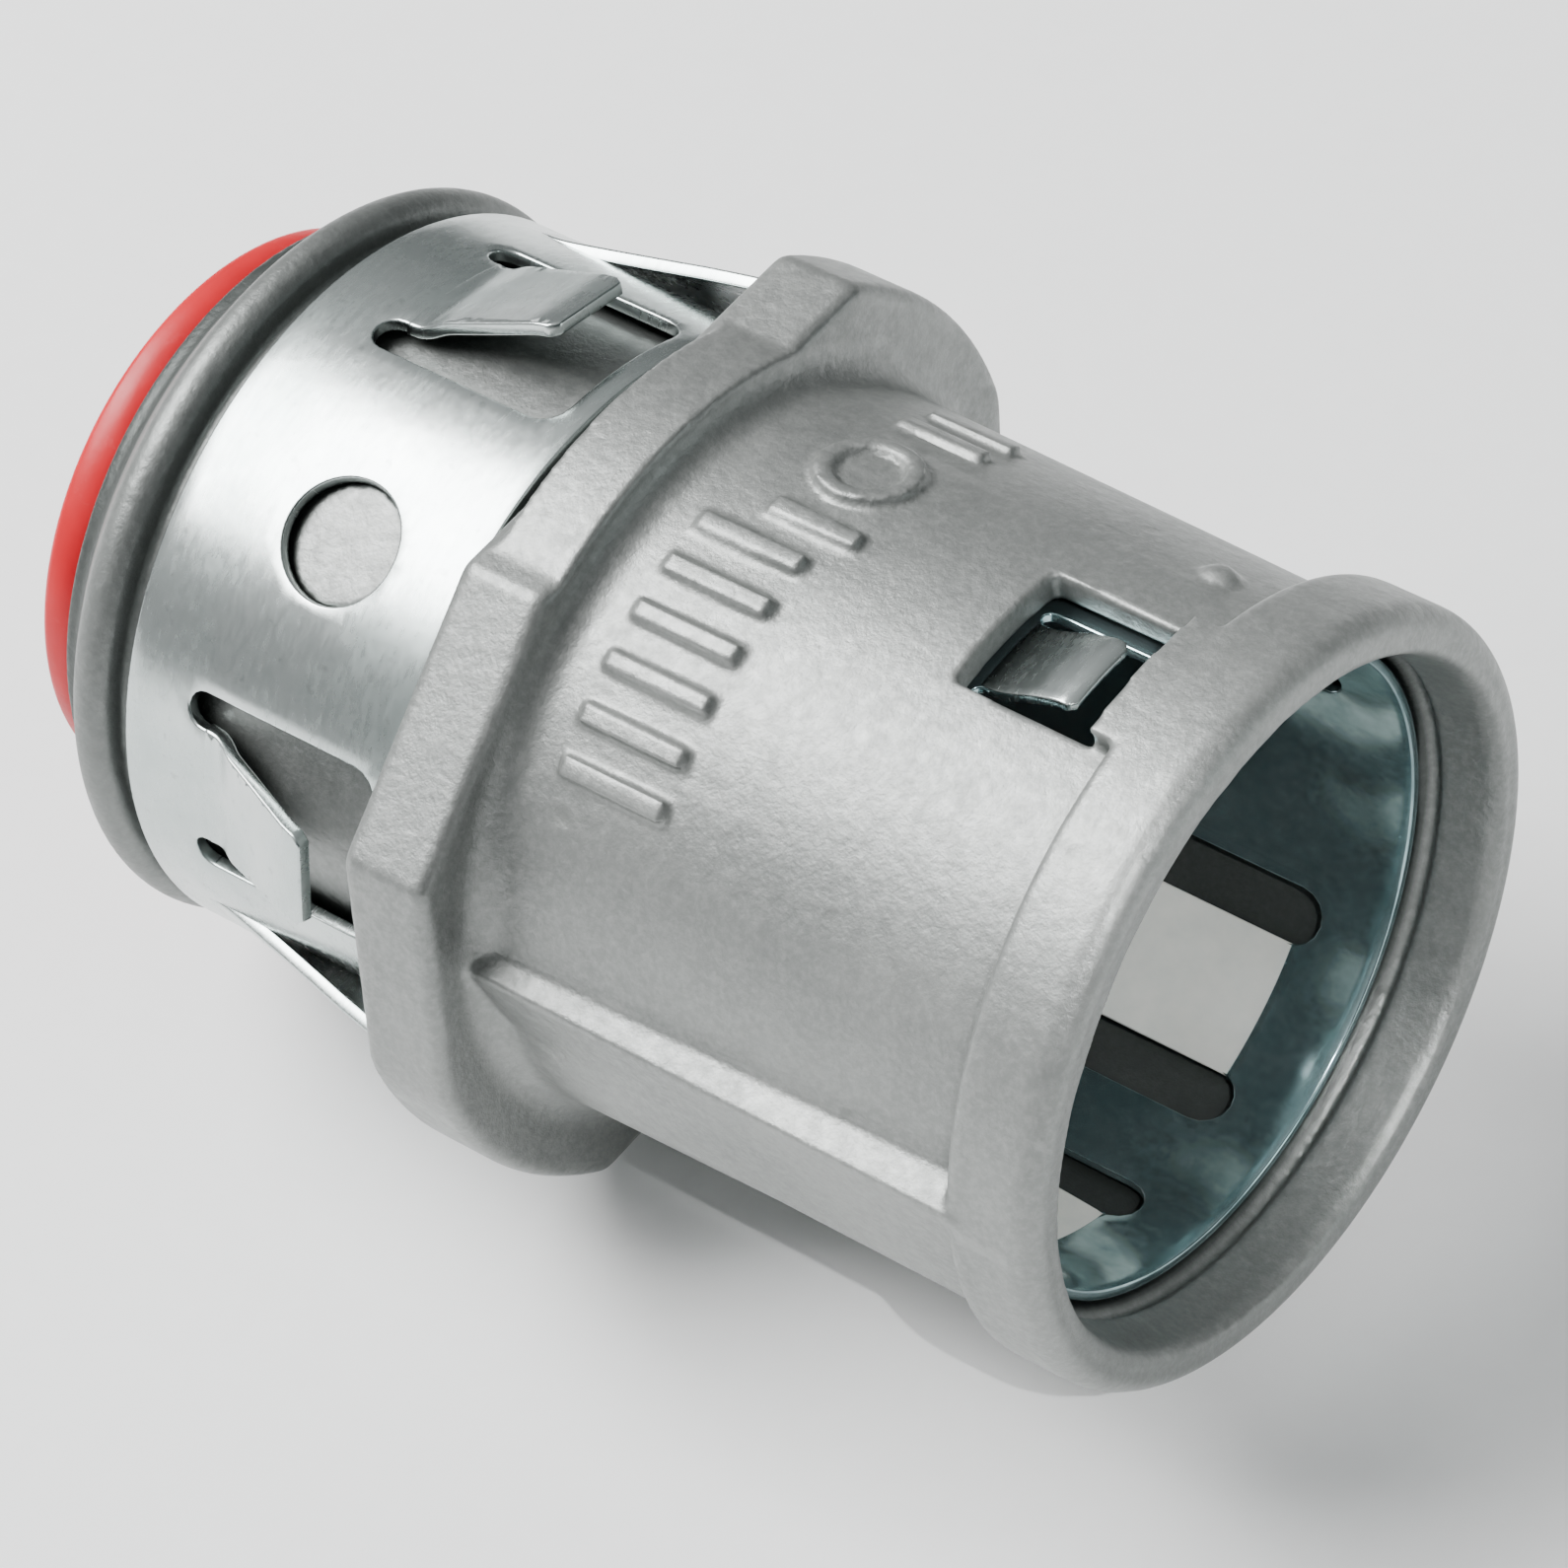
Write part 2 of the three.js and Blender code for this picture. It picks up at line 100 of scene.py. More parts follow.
# The casting's skin: the size of its cells, how strongly it is softened, and the share of its
# faces that is kept.
SKIN_CELL, SKIN_SOFTEN, SKIN_KEPT = 0.12, 0.5, 0.21

# The plain marks on the barrel: bars, one ring and one bump. MARK_FOOT is how deep the bars and
# the ring sink into the barrel, and BUMP_R is the radius at which the bump's middle lies.
MARK_HALF, MARK_FOOT = 0.28, 0.6
LONG_BARS, LONG_BAR_ENDS, LONG_BAR_HEIGHT = (97, 105, 113, 121, 129, 137), (-17.0, -13.6), 0.22
SHORT_BARS, SHORT_BAR_ENDS, SHORT_BAR_HEIGHT = (52, 60, 89.5), (-15.6, -12.8), 0.17
RING_MARK_X, RING_MARK_ANGLE, RING_MARK_INNER, RING_MARK_OUTER = -14.4, 76, 1.0, 1.5
BUMP_X, BUMP_ANGLE, BUMP_R, BUMP_HALF, BUMP_HEIGHT = -5.0, 60.8, 10.1, 0.75, 0.72

# ---------- colours ----------
CAST_DARK, CAST_PALE = (0.205, 0.216, 0.210), (0.262, 0.272, 0.264)
CAST_GRAIN, CAST_SAND, CAST_PIT = (0.38, 0.39, 0.38), (0.24, 0.25, 0.245), (0.2, 0.21, 0.2)
# Painted light: the edge colour is a painted highlight on sharp edges.
# Painted shade: the hollow colour darkens hollows.
CAST_EDGE_HIGHLIGHT, CAST_HOLLOW_SHADE = (0.44, 0.45, 0.44), (0.13, 0.14, 0.13)
# Painted shade: the bore colour darkens the inside of the bore.
# Painted shade: the crevice colour darkens creases and grooves.
CAST_CREVICE_SHADE, CAST_BORE_SHADE = (0.06, 0.068, 0.063), (0.022, 0.028, 0.026)
# Painted shade and a painted dark reflection: the rear colour darkens a band round the bead.
CAST_BEAD_SHADE = (0.11, 0.12, 0.115)
RING_DARK, RING_PALE, RING_SPECK = (0.43, 0.49, 0.48), (0.60, 0.64, 0.63), (0.30, 0.33, 0.32)
CLIP_PALE, CLIP_STAIN = (0.52, 0.68, 0.70), (0.27, 0.41, 0.43)
# The finger colours are painted near white, a painted reflection of the light the grip fingers
# catch; the stain tone adds real variation.
FINGER_PALE_REFLECTION, FINGER_STAIN_AND_REFLECTION = (0.97, 0.96, 0.90), (0.86, 0.87, 0.82)
RED_DARK, RED_PALE = (0.44, 0.006, 0.012), (0.56, 0.012, 0.020)
# Painted shade: the inner red darkens the liner's far inside.
RED_SCUFF, RED_INNER_SHADE = (0.62, 0.08, 0.09), (0.05, 0.004, 0.005)
PAPER_DARK, PAPER_PALE = (0.88, 0.885, 0.885), (0.92, 0.925, 0.925)
ROOM_DARK, ROOM_PALE = (0.055, 0.075, 0.075, 1), (0.96, 0.98, 0.98, 1)


# ---------- points and meshes ----------
def at(x, r, angle):
    """A point by its place along the bore, its radius and its angle."""
    a = math.radians(angle)
    return Vector((MOUTH_X + x * MM, r * MM * math.cos(a), AXIS_Z + r * MM * math.sin(a)))


def beside(x, across, r, angle):
    """A point at radius r over one angle, then moved straight across by some millimetres."""
    a = math.radians(angle)
    side = Vector((0, -math.sin(a), math.cos(a)))
    return at(x, r, angle) + side * across * MM


def new_object(name, verts, faces):
    mesh = bpy.data.meshes.new(name)
    mesh.from_pydata([tuple(v) for v in verts], [], faces)
    mesh.update()
    obj = bpy.data.objects.new(name, mesh)
    bpy.context.scene.collection.objects.link(obj)
    return obj


def face_out(obj, weld=False, drop_loose=False):
    """Turns the faces outward. It can first join equal points, or drop points with no face."""
    bm = bmesh.new()
    bm.from_mesh(obj.data)
    if weld:
        bmesh.ops.remove_doubles(bm, verts=bm.verts, dist=1e-7)
    if drop_loose:
        loose = [v for v in bm.verts if not v.link_faces]
        bmesh.ops.delete(bm, geom=loose, context="VERTS")
    bmesh.ops.recalc_face_normals(bm, faces=bm.faces)
    bm.to_mesh(obj.data)
    bm.free()


def arc(cx, cy, radius, start, end, count):
    """Points on an arc, in a side view or on a flat sheet."""
    points = []
    for i in range(count + 1):
        a = math.radians(start + (end - start) * i / count)
        points.append((cx + radius * math.cos(a), cy + radius * math.sin(a)))
    return points


def turned_faces(steps, n):
    """The faces of a closed ring made of side views that have n points each."""
    faces = []
    for j in range(steps):
        k = (j + 1) % steps
        for i in range(n):
            i2 = (i + 1) % n
            faces.append((j * n + i, j * n + i2, k * n + i2, k * n + i))
    return faces


def stacked_faces(rows, n):
    """The faces between closed rows of n points, with a cap on the first and the last row."""
    faces = []
    for i in range(rows - 1):
        for j in range(n):
            k = (j + 1) % n
            faces.append((i * n + j, i * n + k, (i + 1) * n + k, (i + 1) * n + j))
    faces.append(tuple(range(n)))
    faces.append(tuple(range((rows - 1) * n, rows * n)))
    return faces


def lathe(profile, steps, shape):
    """A closed side view turned round the bore. shape(x, r, angle) gives the radius."""
    verts = []
    for j in range(steps):
        angle = 360 * j / steps
        for x, r in profile:
            verts.append(at(x, shape(x, r, angle), angle))
    return verts, turned_faces(steps, len(profile))


def hexa(corner, nx=1, ny=1, nz=1):
    """A closed block with its sides divided. corner(u, v, w) maps the unit cube to points."""
    index, verts, faces = {}, [], []

    def vert(i, j, k):
        if (i, j, k) not in index:
            index[(i, j, k)] = len(verts)
            verts.append(corner(i / nx, j / ny, k / nz))
        return index[(i, j, k)]

    def face(*places):
        faces.append([vert(*place) for place in places])

    for i in range(nx):
        for j in range(ny):
            for k in (0, nz):
                face((i, j, k), (i + 1, j, k), (i + 1, j + 1, k), (i, j + 1, k))
    for i in range(nx):
        for k in range(nz):
            for j in (0, ny):
                face((i, j, k), (i + 1, j, k), (i + 1, j, k + 1), (i, j, k + 1))
    for j in range(ny):
        for k in range(nz):
            for i in (0, nx):
                face((i, j, k), (i, j + 1, k), (i, j + 1, k + 1), (i, j, k + 1))
    return verts, faces


def sector(x0, x1, half, r0, r1, angle, parts):
    """A curved block that follows the bore. half is its half width, in millimetres at r1."""
    half_angle = math.degrees(half / r1)

    def corner(u, v, w):
        return at(x0 + (x1 - x0) * u, r0 + (r1 - r0) * w, angle + half_angle * (2 * v - 1))

    return hexa(corner, 2, parts, 1)


def round_pin(x, angle, r0, r1, radius, steps=40, dome=0.08):
    """A short pin that stands out from the bore, with its top edge rounded."""
    rows = [(0, radius), (1 - dome / (r1 - r0), radius)]
    rows += [(1 - dome * (1 - math.sin(t)) / (r1 - r0), radius - dome * (1 - math.cos(t)))
             for t in (math.radians(d) for d in (30, 60, 90))]
    verts = []
    for height, rad in rows:
        r = r0 + (r1 - r0) * height
        for j in range(steps):
            a = 2 * math.pi * j / steps
            verts.append(beside(x + rad * math.cos(a), rad * math.sin(a), r, angle))
    return verts, stacked_faces(len(rows), steps)


def merge(parts):
    """Several (verts, faces) pairs as one."""
    verts, faces = [], []
    for part_verts, part_faces in parts:
        base = len(verts)
        verts += list(part_verts)
        faces += [tuple(base + i for i in f) for f in part_faces]
    return verts, faces


def settle(obj):
    """Replaces obj's mesh by what its modifiers make of it."""
    graph = bpy.context.evaluated_depsgraph_get()
    mesh = bpy.data.meshes.new_from_object(obj.evaluated_get(graph))
    old = obj.data
    obj.modifiers.clear()
    obj.data = mesh
    bpy.data.meshes.remove(old)


def smooth_shade(obj):
    for polygon in obj.data.polygons:
        polygon.use_smooth = True


# ---------- material helpers ----------
class Nodes:
    def __init__(self, name):
        self.material = bpy.data.materials.new(name)
        self.material.use_nodes = True
        self.tree = self.material.node_tree
        self.shader = self.tree.nodes["Principled BSDF"]

    def add(self, kind, **values):
        node = self.tree.nodes.new(kind)
        for key, value in values.items():
            setattr(node, key, value)
        return node

    def link(self, source, target):
        self.tree.links.new(source, target)

    def set(self, name, value):
        self.shader.inputs[name].default_value = value

    def math(self, operation, a, b=0.0):
        node = self.add("ShaderNodeMath", operation=operation)
        for i, value in enumerate((a, b)):
            if isinstance(value, (int, float)):
                node.inputs[i].default_value = value
            else:
                self.link(value, node.inputs[i])
        return node.outputs[0]

    def noise(self, scale, detail=3.0, roughness=0.5, vector=None):
        node = self.add("ShaderNodeTexNoise")
        node.inputs["Scale"].default_value = scale
        node.inputs["Detail"].default_value = detail
        node.inputs["Roughness"].default_value = roughness
        self.link(vector or self.place(), node.inputs["Vector"])
        return node.outputs["Fac"]

    def place(self):
        if not hasattr(self, "_place"):
            self._place = self.add("ShaderNodeTexCoord").outputs["Object"]
        return self._place

    def coordinates(self):
        """The place as three values, in metres."""
        split = self.add("ShaderNodeSeparateXYZ")
        self.link(self.place(), split.inputs["Vector"])
        return split.outputs

    def off_axis(self):
        """The distance from the fitting's axis, in metres."""
        _, across, up = self.coordinates()
        height = self.math("SUBTRACT", up, AXIS_Z)
        height_squared = self.math("MULTIPLY", height, height)
        across_squared = self.math("MULTIPLY", across, across)
        return self.math("SQRT", self.math("ADD", height_squared, across_squared))

    def fade_along(self, start, end, low, high):
        """Goes from low to high between two places along the bore, given in millimetres."""
        return self.band(self.coordinates()["X"], at(start, 0, 0).x, at(end, 0, 0).x, low, high)

    def band(self, value, low, high, out_low, out_high):
        node = self.add("ShaderNodeMapRange")
        for i, v in enumerate((low, high, out_low, out_high)):
            node.inputs[i + 1].default_value = v
        self.link(value, node.inputs[0])
        return node.outputs[0]

    def tint(self, factor, colour_a, colour_b):
        node = self.add("ShaderNodeMix", data_type="RGBA")
        for socket, value in ((6, colour_a), (7, colour_b)):
            if isinstance(value, tuple):
                node.inputs[socket].default_value = (*value, 1)
            else:
                self.link(value, node.inputs[socket])
        self.link(factor, node.inputs[0])
        return node.outputs[2]

    def bump(self, height, distance, strength=1.0, under=None):
        node = self.add("ShaderNodeBump")
        node.inputs["Strength"].default_value = strength
        node.inputs["Distance"].default_value = distance
        self.link(height, node.inputs["Height"])
        if under:
            self.link(under, node.inputs["Normal"])
        return node.outputs["Normal"]

    def round_bore(self, along, around):
        """Coordinates that run along the bore and round it, each with its own scale."""
        place, across, up = self.coordinates()
        height = self.math("SUBTRACT", up, AXIS_Z)
        angle = self.math("ARCTAN2", height, across)
        joined = self.add("ShaderNodeCombineXYZ")
        self.link(self.math("MULTIPLY", place, along), joined.inputs[0])
        self.link(self.math("MULTIPLY", angle, around), joined.inputs[1])
        return joined.outputs[0]


def cast_zinc():
    m = Nodes("cast_zinc")
    grain = m.noise(4300, 4, 0.7)
    sand = m.noise(1900, 4, 0.62)
    cloud = m.noise(150, 3, 0.55)
    pits = m.add("ShaderNodeTexVoronoi")
    pits.inputs["Scale"].default_value = 330
    pits.inputs["Randomness"].default_value = 1.0
    m.link(m.place(), pits.inputs["Vector"])
    pit = m.band(pits.outputs["Distance"], 0.04, 0.11, 0, 1)
    edges = m.add("ShaderNodeNewGeometry").outputs["Pointiness"]
    colour = m.tint(m.band(cloud, 0.3, 0.7, 0, 1), CAST_DARK, CAST_PALE)
    colour = m.tint(m.band(grain, 0.42, 0.75, 0, 0.5), colour, CAST_GRAIN)
    colour = m.tint(m.band(sand, 0.5, 0.3, 0, 0.35), colour, CAST_SAND)
    # Painted highlight: sharp edges, found by the mesh's pointiness, are made lighter.
    colour = m.tint(m.band(edges, 0.53, 0.60, 0, 0.2), colour, CAST_EDGE_HIGHLIGHT)
    # Painted shade: hollows, found by the mesh's pointiness, are made darker.
    colour = m.tint(m.band(edges, 0.485, 0.44, 0, 0.7), colour, CAST_HOLLOW_SHADE)
    colour = m.tint(m.band(pit, 0, 1, 0.5, 0), colour, CAST_PIT)
    # Painted shade: the ambient occlusion darkens crevices, grooves and the corners between parts.
    crevice_shade = m.add("ShaderNodeAmbientOcclusion")
    crevice_shade.samples = 6
    crevice_shade.inputs["Distance"].default_value = 0.0011
    colour = m.tint(m.band(crevice_shade.outputs["AO"], 0.8, 0.32, 0, 0.88), colour, CAST_CREVICE_SHADE)
    # Painted shade: the bore wall goes dark from just inside the mouth.
    in_bore = m.band(m.off_axis(), (BORE_R + 0.21) * MM, (BORE_R + 0.09) * MM, 0, 1)
    deep = m.fade_along(-1.9, -2.4, 0, 0.8)
    colour = m.tint(m.math("MULTIPLY", in_bore, deep), colour, CAST_BORE_SHADE)
    # Painted shade in the groove behind the ring, and a painted dark reflection on the bead and
    # its rear slope.
    rear = m.fade_along(BEAD_X + 1.2, BEAD_X + 0.4, 0, 0.5)
    nose = m.fade_along(BEAD_X - 1.5, BEAD_X - 1.9, 1, 0)
    colour = m.tint(m.math("MULTIPLY", rear, nose), colour, CAST_BEAD_SHADE)
    m.link(colour, m.shader.inputs["Base Color"])
    m.set("Metallic", 0.72)
    m.link(m.band(sand, 0.3, 0.7, 0.40, 0.54), m.shader.inputs["Roughness"])
    normal = m.bump(cloud, 0.0002, 0.25)
    normal = m.bump(sand, 0.00006, 0.55, normal)
    normal = m.bump(grain, 0.00003, 0.6, normal)
    normal = m.bump(pit, 0.00006, 0.4, normal)
    m.link(normal, m.shader.inputs["Normal"])
    return m.material


def ring_steel():
    m = Nodes("ring_steel")
    lines = m.noise(1.0, 3, 0.6, m.round_bore(5200, 16))
    blotch = m.noise(190, 4, 0.6)
    speck = m.noise(2600, 2, 0.5)
    colour = m.tint(m.band(blotch, 0.3, 0.7, 0, 1), RING_DARK, RING_PALE)
    colour = m.tint(m.band(speck, 0.64, 0.74, 0, 0.4), colour, RING_SPECK)
    m.link(colour, m.shader.inputs["Base Color"])
    m.set("Metallic", 1.0)
    streaks, patches = m.band(lines, 0.3, 0.7, 0.19, 0.27), m.band(blotch, 0.3, 0.7, 0.09, -0.02)
    m.link(m.math("ADD", streaks, patches), m.shader.inputs["Roughness"])
    normal = m.bump(blotch, 0.0001, 0.3)
    normal = m.bump(lines, 0.000006, 0.3, normal)
    m.link(normal, m.shader.inputs["Normal"])
    return m.material


def clip_steel():
    m = Nodes("clip_steel")
    lines = m.noise(1.0, 3, 0.6, m.round_bore(2200, 24))
    waves = m.noise(190, 2, 0.5)
    stain = m.noise(430, 4, 0.65)
    colour = m.tint(m.band(stain, 0.35, 0.7, 0, 1), CLIP_PALE, CLIP_STAIN)
    m.link(colour, m.shader.inputs["Base Color"])
    m.set("Metallic", 0.94)
    rough = m.math("ADD", m.band(lines, 0.3, 0.7, 0.10, 0.2), m.band(stain, 0.4, 0.75, 0.0, 0.1))
    m.link(rough, m.shader.inputs["Roughness"])
    normal = m.bump(waves, 0.00022, 0.4)
    normal = m.bump(lines, 0.000006, 0.3, normal)
    m.link(normal, m.shader.inputs["Normal"])
    return m.material


# Painted reflection: the fingers are the sleeve's steel, given a near-white colour and a lower
# metallic so they look as bright as the light they reflect.
def finger_painted_reflection():
    m = Nodes("finger_painted_reflection")
    lines = m.noise(1.0, 2, 0.5, m.round_bore(1500, 20))
    stain = m.noise(900, 4, 0.55)
    colour = m.tint(m.band(stain, 0.35, 0.7, 0, 1), FINGER_PALE_REFLECTION, FINGER_STAIN_AND_REFLECTION)
    m.link(colour, m.shader.inputs["Base Color"])
    m.set("Metallic", 0.55)
    rough = m.math("ADD", m.band(lines, 0.3, 0.7, 0.28, 0.34), m.band(stain, 0.4, 0.75, 0.0, 0.06))
    m.link(rough, m.shader.inputs["Roughness"])
    normal = m.bump(stain, 0.00003, 0.3)
    normal = m.bump(lines, 0.000006, 0.3, normal)
    m.link(normal, m.shader.inputs["Normal"])
    return m.material


def red_plastic():
    m = Nodes("red_plastic")
    flow = m.noise(1.0, 3, 0.5, m.round_bore(700, 2))
    fine = m.noise(3200, 2, 0.5)
    scuff = m.noise(700, 4, 0.7)
    colour = m.tint(m.band(flow, 0.3, 0.7, 0, 1), RED_DARK, RED_PALE)
    colour = m.tint(m.band(scuff, 0.62, 0.75, 0, 0.3), colour, RED_SCUFF)
    # Painted shade: the liner goes nearly black inside the nose.
    inner = m.fade_along(NOSE_END - 0.05, NOSE_END + 0.6, 0, 0.9)
    colour = m.tint(inner, colour, RED_INNER_SHADE)
    m.link(colour, m.shader.inputs["Base Color"])
    m.set("Metallic", 0.0)
    m.set("Specular IOR Level", 0.3)
    m.set("Subsurface Weight", 0.05)
    m.set("Subsurface Scale", 0.001)
    m.link(m.band(scuff, 0.3, 0.7, 0.28, 0.44), m.shader.inputs["Roughness"])
    normal = m.bump(flow, 0.00004, 0.35)
    normal = m.bump(fine, 0.000015, 0.35, normal)
    m.link(normal, m.shader.inputs["Normal"])
    return m.material


ZINC = cast_zinc()
RING = ring_steel()
CLIP = clip_steel()
FINGER_PAINTED_REFLECTION = finger_painted_reflection()
RED = red_plastic()


def finish_piece(obj, material, body, node):
    """Gives a piece its material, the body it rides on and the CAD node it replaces."""
    obj.data.materials.clear()
    obj.data.materials.append(material)
    smooth_shade(obj)
    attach(obj, body)
    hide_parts(node)


# ---------- cast body ----------
def soft_min(a, b, k):
    """The smaller of two lengths, with the corner where they cross rounded."""
    h = max(k - abs(a - b), 0) / k
    return min(a, b) - h * h * k / 4


def flange_reach(angle):
    """The flange's radius at one angle, where flats cut its round edge."""
    reach = FLANGE_R
    for normal, distance in FLANGE_FLATS:
        for side in (0, 180):
            lean = math.cos(math.radians(angle - normal - side))
            if lean > 0.1:
                reach = soft_min(reach, distance / lean, FLANGE_BLEND)
    return reach


def barrel():
    """The turned body, from the mouth to the nose, with the lock tab's window cut through it."""
    cove = 1.0
    profile = [(-0.12, 10.05), (-0.1, 10.14), (-0.01, 10.2), (-0.01, 10.28), (-0.08, 10.36)]
    profile += [(-0.06, 10.5)]
    profile += arc(-0.8, COLLAR_R - 0.8, 0.8, 12, 90, 8)
    profile += arc(COLLAR_BACK + 0.35, COLLAR_R - 0.35, 0.35, 90, 180, 4)
    profile += [(COLLAR_BACK, BARREL_R_FRONT + 0.1), (COLLAR_BACK - 0.1, BARREL_R_FRONT)]
    profile += [(-8.0, 10.56), (-13.0, 10.66)]
    profile += arc(FLANGE_FRONT + cove, BARREL_R_BACK + cove, cove, 270, 180, 7)
    profile += [(SEAT + 0.5, BARREL_R_BACK + cove), (SEAT + 0.5, NECK_R)]
    profile += [(BEAD_X + BEAD_TUBE + 0.05, NECK_R - 0.1)]
    profile += arc(BEAD_X, BEAD_R - BEAD_TUBE, BEAD_TUBE, 0, 140, 12)
    profile += [(BEAD_X - 1.35, NOSE_R + 0.3), (BEAD_X - 1.6, NOSE_R + 0.02)]
    profile += [(BEAD_X - 2.05, NOSE_R)]
    profile += [(NOSE_END + 0.1, NOSE_FACE_R + 0.06), (NOSE_END, NOSE_FACE_R - 0.05)]
    profile += [(NOSE_END, NECK_BORE_R), (STOP_BACK, NECK_BORE_R), (STOP_BACK, STOP_R)]
    profile += [(STOP_FRONT, STOP_R), (STOP_FRONT, BORE_R), (-2.4, BORE_R + 0.02)]
    profile += [(-2.05, 9.92), (-1.95, 9.92), (-1.8, 9.7), (-0.4, 9.92)]

    def shape(x, r, angle):
        """Makes the small step on the mouth's face a little uneven, as a casting's is."""
        if x < -0.09 or r > 10.4 or r < 10.15:
            return r
        a = math.radians(angle)
        return (r + 0.035 * math.sin(7 * a) + 0.03 * math.sin(17 * a + 1)
                + 0.02 * math.sin(31 * a + 2))

    def window_corner(u, v, w):
        x = WINDOW_BACK + (WINDOW_FRONT - WINDOW_BACK) * u
        return beside(x, WINDOW_WIDTH * (v - 0.5), 8 + 5 * w, WINDOW_ANGLE)

    obj = new_object("barrel_work", *lathe(profile, 288, shape))
    face_out(obj, weld=True)
    cutter = new_object("window_work", *hexa(window_corner))
    face_out(cutter, weld=True)
    cut = obj.modifiers.new("cut", "BOOLEAN")
    cut.object = cutter
    cut.operation = "DIFFERENCE"
    cut.solver = "EXACT"
    settle(obj)
    bpy.data.objects.remove(cutter)
    return obj


def flange():
    r = FLANGE_EDGE
    profile = [(SEAT, FLANGE_FOOT_R), (SEAT, FLANGE_R - r)]
    profile += arc(SEAT + r, FLANGE_R - r, r, 180, 90, 6)[1:]
    profile += arc(FLANGE_FRONT - r, FLANGE_R - r, r, 90, 0, 6)
    profile += [(FLANGE_FRONT, FLANGE_FOOT_R)]

    def shape(x, radius, angle):
        if radius == FLANGE_FOOT_R:
            return radius
        return radius - (FLANGE_R - flange_reach(angle))

    return lathe(profile, 360, shape)


def side_step(mirror):
    """The step along one side of the barrel, where the two halves of the mould meet."""
    step, slope, flat, foot = 173, 194.5, 10.62, 203
    edge = flat / math.cos(math.radians(slope - step))
    outline = [(step - 3.6, BORE_R + 0.3), (step - 3.6, BARREL_R_FRONT + 0.12)]
    outline += [(step - 0.6, edge - 0.03), (step, edge)]
    for i in range(1, 9):
        angle = step + (foot - step) * i / 8
        outline.append((angle, flat / math.cos(math.radians(angle - slope))))
    outline.append((foot, BORE_R + 0.3))
    stations = [COLLAR_BACK + 0.5, -8, -14, FLANGE_FRONT - 0.8]
    verts = []
    for x in stations:
        for angle, r in outline:
            verts.append(at(x, r, 180 - angle if mirror else angle))
    return verts, stacked_faces(len(stations), len(outline))


def raised_marks():
    """Plain raised bars and one plain raised ring on the barrel."""
    parts = []
    foot = BARREL_R_BACK - MARK_FOOT
    for angles, (back, front), height in ((LONG_BARS, LONG_BAR_ENDS, LONG_BAR_HEIGHT),
                                          (SHORT_BARS, SHORT_BAR_ENDS, SHORT_BAR_HEIGHT)):
        for angle in angles:
            parts.append(sector(back, front, MARK_HALF, foot, BARREL_R_BACK + height, angle, 3))
    top = BARREL_R_BACK + SHORT_BAR_HEIGHT
    corners = ((RING_MARK_INNER, foot), (RING_MARK_OUTER, foot),
               (RING_MARK_OUTER, top), (RING_MARK_INNER, top))
    steps = 48
    verts = []
    for j in range(steps):
        a = 2 * math.pi * j / steps
        for rad, r in corners:
            x = RING_MARK_X + rad * math.cos(a)
            verts.append(beside(x, rad * math.sin(a), r, RING_MARK_ANGLE))
    parts.append((verts, turned_faces(steps, len(corners))))
    return parts


def small_bump():
    """The small round bump beside the window."""
    rows, steps = 10, 24
    verts = []
    for i in range(1, rows):
        t = math.pi * i / rows
        rad, r = BUMP_HALF * math.sin(t), BUMP_R + BUMP_HEIGHT * math.cos(t)
        for j in range(steps):
            a = 2 * math.pi * j / steps
            verts.append(beside(BUMP_X + rad * math.cos(a), rad * math.sin(a), r, BUMP_ANGLE))
    return verts, stacked_faces(rows - 1, steps)


def window_bridge():
    """The thicker bar of metal between the window and the collar."""
    half = WINDOW_WIDTH / 2 + 0.15
    return sector(WINDOW_FRONT, COLLAR_BACK + 0.9, half, 10.0, COLLAR_R - 0.04, WINDOW_ANGLE, 12)


def make_body():
    """Joins the casting's pieces into one closed skin, with their edges softened."""
    work = barrel()
    verts = [v.co.copy() for v in work.data.vertices]
    faces = [tuple(p.vertices) for p in work.data.polygons]
    parts = [
        (verts, faces),
        flange(),
        window_bridge(),
        side_step(False),
        side_step(True),
        small_bump(),
    ]
    parts += raised_marks()
    parts += [round_pin(BOSS_X, a, BOSS_FOOT_R, RING_R - 0.5, BOSS_PIN_R) for a in BOSS_ANGLES]
    bpy.data.objects.remove(work)
    obj = new_object("body_casting", *merge(parts))
    face_out(obj)
    skin = obj.modifiers.new("skin", "REMESH")
    skin.mode = "VOXEL"
    skin.voxel_size = SKIN_CELL * MM
    soften = obj.modifiers.new("soften", "SMOOTH")
    soften.factor = SKIN_SOFTEN
    soften.iterations = 2
    thin = obj.modifiers.new("thin", "DECIMATE")
    thin.ratio = SKIN_KEPT
    settle(obj)
    finish_piece(obj, ZINC, "body_assembly", "connector_body")


# ---------- sheet metal ----------
# A sheet is drawn flat, with x along the bore and v round it, and is then folded to its place.
def signed_area(loop):
    crosses = (a[0] * b[1] - b[0] * a[1] for a, b in zip(loop[-1:] + loop, loop))
    return sum(crosses) / 2


def inside(point, loop):
    """Whether a point lies inside a closed loop."""
    x, y = point
    hit = False
    for i in range(len(loop)):
        x1, y1 = loop[i]
        x2, y2 = loop[i - 1]
        if (y1 > y) != (y2 > y) and x < (x2 - x1) * (y - y1) / (y2 - y1) + x1:
            hit = not hit
    return hit


def near(point, loop, gap):
    """Whether a point lies closer than gap to a closed loop."""
    p = Vector(point)
    for i in range(len(loop)):
        a, b = Vector(loop[i - 1]), Vector(loop[i])
        d = b - a
        t = max(0, min(1, (p - a).dot(d) / max(d.length_squared, 1e-12)))
        if (p - a - d * t).length < gap:
            return True
    return False


